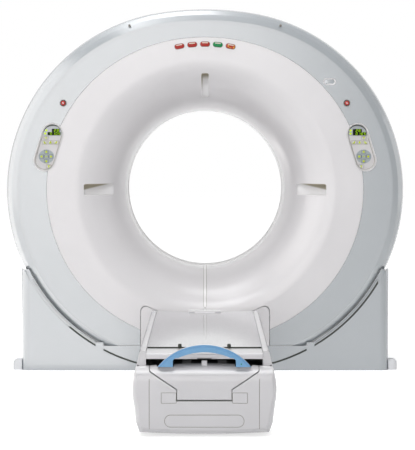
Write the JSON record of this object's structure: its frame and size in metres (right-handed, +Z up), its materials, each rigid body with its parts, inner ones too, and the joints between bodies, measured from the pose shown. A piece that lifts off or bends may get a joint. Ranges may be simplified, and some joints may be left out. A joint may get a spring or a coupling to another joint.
{
  "type": "ct scanner",
  "caption": "Wide-bore CT scanner: tilting oval gantry with a spinning rotor inside, and a lifting couch with a sliding tabletop.",
  "frame": {"origin": "on the floor under the isocentre, centre of the gantry's four anchor holes", "axes": "+Z up; +Y from the couch through the bore to the rear; +X to the right as seen from the foot of the couch"},
  "size_m": [2.2558, 3.64, 2.047],
  "materials": {
    "base_steel": "satin powder coat",
    "base_cover": "satin paint",
    "column_steel": "satin paint",
    "frame_steel": "painted casting",
    "bearing_steel": "ground",
    "ring_cover": "semi-gloss paint",
    "white_cover": "semi-gloss paint",
    "bore_window": "matt film",
    "light_recess": "matt",
    "lamp_lens": "clear lens",
    "panel_tray": "fine texture",
    "display_glass": "tinted window",
    "dark_trim": "matt",
    "rotor_aluminium": "machined",
    "tube_housing": "paint",
    "detector_case": "anodised",
    "couch_white": "semi-gloss paint",
    "table_top": "gloss lacquer on laminate",
    "handle_blue": "satin",
    "key_cap": "silicone key",
    "dpad_key": "silicone key",
    "stop_red": "gloss"
  },
  "bodies": {
    "base": {"floor_frame": "base_steel", "tilt_stands": "base_steel", "base_front_cover": "base_cover", "base_rear_cover": "base_cover", "base_side_covers": "base_cover", "couch_floor_column": "column_steel"},
    "gantry": {"tilt_frame": "frame_steel", "rotor_bearing": "bearing_steel", "front_ring_cover": "ring_cover", "front_funnel_cover": "white_cover", "front_service_panel": "white_cover", "gantry_side_shell": "ring_cover", "rear_ring_cover": "ring_cover", "rear_funnel_cover": "white_cover", "bore_liner": "bore_window", "laser_windows": "light_recess", "seam_strip": "white_cover", "status_lamps": "lamp_lens", "panel_housings": "panel_tray", "panel_displays": "display_glass", "stop_collars": "dark_trim", "badge_plate": "ring_cover"},
    "rotor": {"rotor_drum": "rotor_aluminium", "xray_tube": "tube_housing", "collimator": "tube_housing", "detector_array": "detector_case", "rotor_power_units": "tube_housing"},
    "stage_lower": {"couch_stage_lower": "column_steel"},
    "stage_upper": {"couch_stage_upper": "column_steel"},
    "couch": {"couch_frame": "couch_white", "couch_side_covers": "couch_white", "couch_front_cover": "couch_white", "couch_front_panel": "couch_white"},
    "table": {"tabletop": "table_top", "tabletop_end_cap": "couch_white", "end_handle": "couch_white", "handle_face": "handle_blue", "release_knobs": "dark_trim"},
    "left_light_key": {"left_light_key": "key_cap"},
    "left_tilt_back_key": {"left_tilt_back_key": "key_cap"},
    "left_home_key": {"left_home_key": "key_cap"},
    "left_tilt_forward_key": {"left_tilt_forward_key": "key_cap"},
    "left_up_key": {"left_up_key": "dpad_key"},
    "left_down_key": {"left_down_key": "dpad_key"},
    "left_out_key": {"left_out_key": "dpad_key"},
    "left_in_key": {"left_in_key": "dpad_key"},
    "left_fast_key": {"left_fast_key": "dpad_key"},
    "left_unload_key": {"left_unload_key": "key_cap"},
    "left_stop_button": {"left_stop_button": "stop_red"},
    "right_light_key": {"right_light_key": "key_cap"},
    "right_tilt_back_key": {"right_tilt_back_key": "key_cap"},
    "right_home_key": {"right_home_key": "key_cap"},
    "right_tilt_forward_key": {"right_tilt_forward_key": "key_cap"},
    "right_up_key": {"right_up_key": "dpad_key"},
    "right_down_key": {"right_down_key": "dpad_key"},
    "right_out_key": {"right_out_key": "dpad_key"},
    "right_in_key": {"right_in_key": "dpad_key"},
    "right_fast_key": {"right_fast_key": "dpad_key"},
    "right_unload_key": {"right_unload_key": "key_cap"},
    "right_stop_button": {"right_stop_button": "stop_red"}
  },
  "joints": [
    {"name": "gantry_tilt", "type": "hinge", "parent": "base", "child": "gantry", "pos_m": [0, 0, 1.025], "axis": [1, 0, 0], "range_deg": [-30, 30]},
    {"name": "rotor_spin", "type": "hinge", "parent": "gantry", "child": "rotor", "pos_m": [0, 0, 1.025], "axis": [0, 1, 0], "continuous": true},
    {"name": "couch_lift", "type": "slide", "parent": "base", "child": "couch", "axis": [0, 0, 1], "range_m": [0, 0.6]},
    {"name": "stage_upper_slide", "type": "slide", "parent": "base", "child": "stage_upper", "axis": [0, 0, 1], "range_m": [0, 0.4001]},
    {"name": "stage_lower_slide", "type": "slide", "parent": "base", "child": "stage_lower", "axis": [0, 0, 1], "range_m": [0, 0.2001]},
    {"name": "tabletop_slide", "type": "slide", "parent": "couch", "child": "table", "axis": [0, 1, 0], "range_m": [0, 1.5]},
    {"name": "left_light_key_press", "type": "slide", "parent": "gantry", "child": "left_light_key", "axis": [0, 1, 0], "range_m": [0, 0.0015], "stiffness_N_per_m": 600},
    {"name": "left_tilt_back_key_press", "type": "slide", "parent": "gantry", "child": "left_tilt_back_key", "axis": [0, 1, 0], "range_m": [0, 0.0015], "stiffness_N_per_m": 600},
    {"name": "left_home_key_press", "type": "slide", "parent": "gantry", "child": "left_home_key", "axis": [0, 1, 0], "range_m": [0, 0.0015], "stiffness_N_per_m": 600},
    {"name": "left_tilt_forward_key_press", "type": "slide", "parent": "gantry", "child": "left_tilt_forward_key", "axis": [0, 1, 0], "range_m": [0, 0.0015], "stiffness_N_per_m": 600},
    {"name": "left_up_key_press", "type": "slide", "parent": "gantry", "child": "left_up_key", "axis": [0, 1, 0], "range_m": [0, 0.0015], "stiffness_N_per_m": 600},
    {"name": "left_down_key_press", "type": "slide", "parent": "gantry", "child": "left_down_key", "axis": [0, 1, 0], "range_m": [0, 0.0015], "stiffness_N_per_m": 600},
    {"name": "left_out_key_press", "type": "slide", "parent": "gantry", "child": "left_out_key", "axis": [0, 1, 0], "range_m": [0, 0.0015], "stiffness_N_per_m": 600},
    {"name": "left_in_key_press", "type": "slide", "parent": "gantry", "child": "left_in_key", "axis": [0, 1, 0], "range_m": [0, 0.0015], "stiffness_N_per_m": 600},
    {"name": "left_fast_key_press", "type": "slide", "parent": "gantry", "child": "left_fast_key", "axis": [0, 1, 0], "range_m": [0, 0.0015], "stiffness_N_per_m": 600},
    {"name": "left_unload_key_press", "type": "slide", "parent": "gantry", "child": "left_unload_key", "axis": [0, 1, 0], "range_m": [0, 0.0015], "stiffness_N_per_m": 600},
    {"name": "left_stop_button_press", "type": "slide", "parent": "gantry", "child": "left_stop_button", "axis": [0, 1, 0], "range_m": [0, 0.004], "stiffness_N_per_m": 1500},
    {"name": "right_light_key_press", "type": "slide", "parent": "gantry", "child": "right_light_key", "axis": [0, 1, 0], "range_m": [0, 0.0015], "stiffness_N_per_m": 600},
    {"name": "right_tilt_back_key_press", "type": "slide", "parent": "gantry", "child": "right_tilt_back_key", "axis": [0, 1, 0], "range_m": [0, 0.0015], "stiffness_N_per_m": 600},
    {"name": "right_home_key_press", "type": "slide", "parent": "gantry", "child": "right_home_key", "axis": [0, 1, 0], "range_m": [0, 0.0015], "stiffness_N_per_m": 600},
    {"name": "right_tilt_forward_key_press", "type": "slide", "parent": "gantry", "child": "right_tilt_forward_key", "axis": [0, 1, 0], "range_m": [0, 0.0015], "stiffness_N_per_m": 600},
    {"name": "right_up_key_press", "type": "slide", "parent": "gantry", "child": "right_up_key", "axis": [0, 1, 0], "range_m": [0, 0.0015], "stiffness_N_per_m": 600},
    {"name": "right_down_key_press", "type": "slide", "parent": "gantry", "child": "right_down_key", "axis": [0, 1, 0], "range_m": [0, 0.0015], "stiffness_N_per_m": 600},
    {"name": "right_out_key_press", "type": "slide", "parent": "gantry", "child": "right_out_key", "axis": [0, 1, 0], "range_m": [0, 0.0015], "stiffness_N_per_m": 600},
    {"name": "right_in_key_press", "type": "slide", "parent": "gantry", "child": "right_in_key", "axis": [0, 1, 0], "range_m": [0, 0.0015], "stiffness_N_per_m": 600},
    {"name": "right_fast_key_press", "type": "slide", "parent": "gantry", "child": "right_fast_key", "axis": [0, 1, 0], "range_m": [0, 0.0015], "stiffness_N_per_m": 600},
    {"name": "right_unload_key_press", "type": "slide", "parent": "gantry", "child": "right_unload_key", "axis": [0, 1, 0], "range_m": [0, 0.0015], "stiffness_N_per_m": 600},
    {"name": "right_stop_button_press", "type": "slide", "parent": "gantry", "child": "right_stop_button", "axis": [0, 1, 0], "range_m": [0, 0.004], "stiffness_N_per_m": 1500}
  ],
  "couplings": [
    {"joint": "stage_upper_slide", "follows": "couch_lift", "ratio": 0.66667},
    {"joint": "stage_lower_slide", "follows": "couch_lift", "ratio": 0.33333},
    {"joint": "tabletop_slide", "follows": "couch_lift", "ratio": 2.5}
  ]
}
